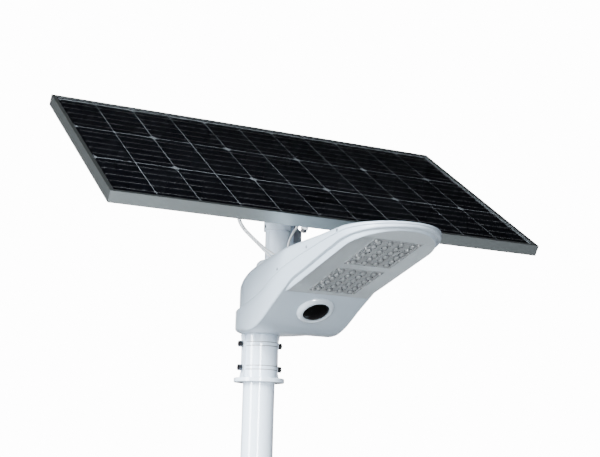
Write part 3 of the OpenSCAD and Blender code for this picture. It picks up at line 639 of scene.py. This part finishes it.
def box_on_panel(verts, faces, x, v, w):
    """Adds a box given by its (low, high) along each of the panel's directions."""
    start = len(verts)
    verts += [on_panel(x[i], v[j], w[k]) for i in (0, 1) for j in (0, 1) for k in (0, 1)]
    faces += [tuple(start + i for i in f) for f in
              ((0, 1, 3, 2), (4, 6, 7, 5), (0, 4, 5, 1), (2, 3, 7, 6), (0, 2, 6, 4), (1, 5, 7, 3))]


def make_ribbons():
    verts, faces = [], []
    pitch_v = (PANEL_W - 2 * MARGIN) / 3
    end = PANEL_L / 2 - MARGIN - 4
    for row in (-1, 0, 1):
        for k in range(RIBBONS_PER_CELL):
            v = row * pitch_v + (k - (RIBBONS_PER_CELL - 1) / 2) * RIBBON_PITCH
            box_on_panel(verts, faces, (-end, end), (v - RIBBON_W / 2, v + RIBBON_W / 2),
                         (GLASS_LOW, GLASS_LOW + RIBBON_H))
    obj = piece("cell_ribbons", verts, faces, M["bus"], smooth=False)
    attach(obj, "panel")


make_ribbons()

# ---- Painted shadow in the socket's grooves ----

# The socket's radius, the heights of its two rows of screws, and the grooves' distance from a row
SOCKET_R, SOCKET_ROWS, GROOVE_OUT = 42.5, (24.0, 80.0), 4.5
GROOVE_SHADE_SIDES = 96


def make_seals():
    # Thin dark rings sunk in the grooves: painted shadow for the shade lines that the grooves show
    verts, faces = [], []
    section = ((SOCKET_R - 1.3, -0.8), (SOCKET_R - 0.1, -0.8), (SOCKET_R - 0.1, 0.8), (SOCKET_R - 1.3, 0.8))
    for z in [row + s * GROOVE_OUT for row in SOCKET_ROWS for s in (-1, 1)]:
        start = len(verts)
        for k in range(GROOVE_SHADE_SIDES):
            a = 2 * math.pi * k / GROOVE_SHADE_SIDES
            verts += [mm(r * math.cos(a), r * math.sin(a), z + h) for r, h in section]
        for k in range(GROOVE_SHADE_SIDES):
            m = (k + 1) % GROOVE_SHADE_SIDES
            for i in range(4):
                j = (i + 1) % 4
                faces.append(tuple(start + v for v in (4 * k + i, 4 * k + j, 4 * m + j, 4 * m + i)))
    obj = piece("sleeve_seals", verts, faces, M["seal"])
    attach(obj, "head")


make_seals()

# ---- Looks of the CAD's own pieces ----

LOOKS = {
    "pole": ["pole_tube", "stop_ring"],
    "socket": ["pole_socket", "stub_collar", "stub_tube", "neck_cover", "saddle"],
    "ring": ["sensor_ring"],
    "window": ["sensor_dome"],
    "dark": ["socket_screws", "saddle_screws", "cover_screws", "rail_bolts"],
    "zinc": ["screw_washers", "socket_bolts", "spine_bolts", "lens_screws", "pivot_bolt", "pivot_spacer",
             "lock_bolts", "ear_bolts", "battery_tray"],
    "bracket": ["cheek_left", "cheek_right"],
    "galv": ["ear_left", "ear_right"],
    "cast": ["spine", "controller"],
    "board": ["led_boards", "sensor_board"],
    "led": ["led_chips"],
    "battery": ["battery"],
    "gland": ["head_glands", "stub_cap"],
    "nylon": ["rail_spacers"],
    "rail": ["rail_left", "rail_right", "corner_keys"],
    "frame": ["frame_near", "frame_far", "frame_left", "frame_right"],
    "glass": ["panel_glass"],
    "cell": ["solar_cells"],
    "sheet": ["backsheet"],
    "box": ["junction_box", "junction_lid"],
    "brass": ["bond_lug"],
}
# Bevel widths in mm
BEVELS = {"stop_ring": 1.2, "pole_socket": 0.3, "saddle": 0.8, "neck_cover": 0.7, "stub_collar": 1.0,
          "cheek_left": 0.5, "cheek_right": 0.5, "frame_near": 0.5, "frame_far": 0.5, "frame_left": 0.5,
          "frame_right": 0.5, "junction_box": 1.2, "junction_lid": 0.8, "sensor_ring": 0.6, "battery": 3.0,
          "controller": 1.0, "pole_tube": 0.6, "socket_screws": 0.7, "screw_washers": 0.5, "rail_bolts": 0.4,
          "head_glands": 0.5}


def dress():
    for look, names in LOOKS.items():
        for name in names:
            obj = frame["nodes"][name]
            obj.data.materials.clear()
            obj.data.materials.append(M[look])
            if name in BEVELS:
                mod = obj.modifiers.new("bevel", "BEVEL")
                mod.width = BEVELS[name] * MM
                mod.segments = 3
                mod.limit_method = "ANGLE"
                mod.angle_limit = EDGE_ANGLE
                mod.harden_normals = True


dress()

# ---- Floor and light ----

FLOOR_HALF, FLOOR_Z = 30, -0.001
FLOOR_GLOW = 0.8  # the floor's own light, which only the camera sees
# The background's strength to the camera, on the lamp, and on the lamp from the dark patch overhead
WHITE, ROOM, DARK_PATCH = 14.0, 0.28, 0.01
DARK_WAY, FADE_FROM, FADE_TO = (0.36, 0.52, 0.77), 0.2, 0.8  # the patch's direction, and its soft edge
SKY, PALE = (0.93, 0.97, 1.0, 1), (0.97, 0.98, 1.0, 1)
# Name, place and what it points at in metres, size, power in watts, colour
LIGHTS = [
    ("key", (-2.34, -1.70, 1.54), (0.0, -0.2, 0.42), (0.9, 1.1), 460, (0.94, 0.98, 1.0)),
    ("strip_left", (-2.6, -0.42, 0.36), (0, 0, 0.2), (0.6, 0.66), 75, (0.95, 0.98, 1.0)),
    ("strip_front", (-1.15, -3.1, 0.36), (0, 0, 0.2), (0.5, 0.66), 95, (0.95, 0.98, 1.0)),
    # Behind the lamp, for the sides that the camera doesn't see
    ("fill_back", (1.6, 3.0, 1.0), (0, -0.1, 0.5), (2.0, 1.6), 70, (0.97, 0.98, 1.0)),
]


def floor():
    f = FLOOR_HALF
    verts = [(-f, -f, FLOOR_Z), (f, -f, FLOOR_Z), (f, f, FLOOR_Z), (-f, f, FLOOR_Z)]
    made = Mat("floor", (0.29, 0.295, 0.30), 0.8)
    made.mottle(2, 0.005)
    # Pale to look at, yet it throws no more light up at the lamp
    ray = made.nodes.new("ShaderNodeLightPath")
    glow = made.ramp(ray.outputs["Is Camera Ray"], 0.0, FLOOR_GLOW)
    made.set("Emission Color", PALE)
    made.links.new(glow, made.bsdf.inputs["Emission Strength"])
    obj = piece("floor", verts, [(0, 1, 2, 3)], made.mat, smooth=False)


def area(name, at, aim, sides, power, color):
    data = bpy.data.lights.new(name, "AREA")
    data.shape = "RECTANGLE"
    data.size, data.size_y = sides
    data.energy = power
    data.color = color
    obj = bpy.data.objects.new(name, data)
    bpy.context.scene.collection.objects.link(obj)
    obj.location = at
    obj.rotation_euler = (Vector(aim) - Vector(at)).to_track_quat("-Z", "Y").to_euler()


def world():
    """White to the camera; its light on the lamp falls off towards a dark patch overhead."""
    w = bpy.data.worlds.new("world")
    w.use_nodes = True
    nodes, links = w.node_tree.nodes, w.node_tree.links
    room = nodes["Background"]
    seen = nodes.new("ShaderNodeBackground")
    seen.inputs["Color"].default_value = (1, 1, 1, 1)
    seen.inputs["Strength"].default_value = WHITE
    where = nodes.new("ShaderNodeTexCoord")
    dot = nodes.new("ShaderNodeVectorMath")
    dot.operation = "DOT_PRODUCT"
    dot.inputs[1].default_value = Vector(DARK_WAY).normalized()
    links.new(where.outputs["Generated"], dot.inputs[0])
    ramp = nodes.new("ShaderNodeMapRange")
    ramp.inputs["From Min"].default_value = FADE_FROM
    ramp.inputs["From Max"].default_value = FADE_TO
    ramp.inputs["To Min"].default_value = ROOM
    ramp.inputs["To Max"].default_value = DARK_PATCH
    links.new(dot.outputs["Value"], ramp.inputs["Value"])
    links.new(ramp.outputs["Result"], room.inputs["Strength"])
    room.inputs["Color"].default_value = SKY
    ray = nodes.new("ShaderNodeLightPath")
    mix = nodes.new("ShaderNodeMixShader")
    links.new(ray.outputs["Is Camera Ray"], mix.inputs["Fac"])
    links.new(room.outputs["Background"], mix.inputs[1])
    links.new(seen.outputs["Background"], mix.inputs[2])
    links.new(mix.outputs["Shader"], nodes["World Output"].inputs["Surface"])
    bpy.context.scene.world = w


floor()
world()
for values in LIGHTS:
    area(*values)
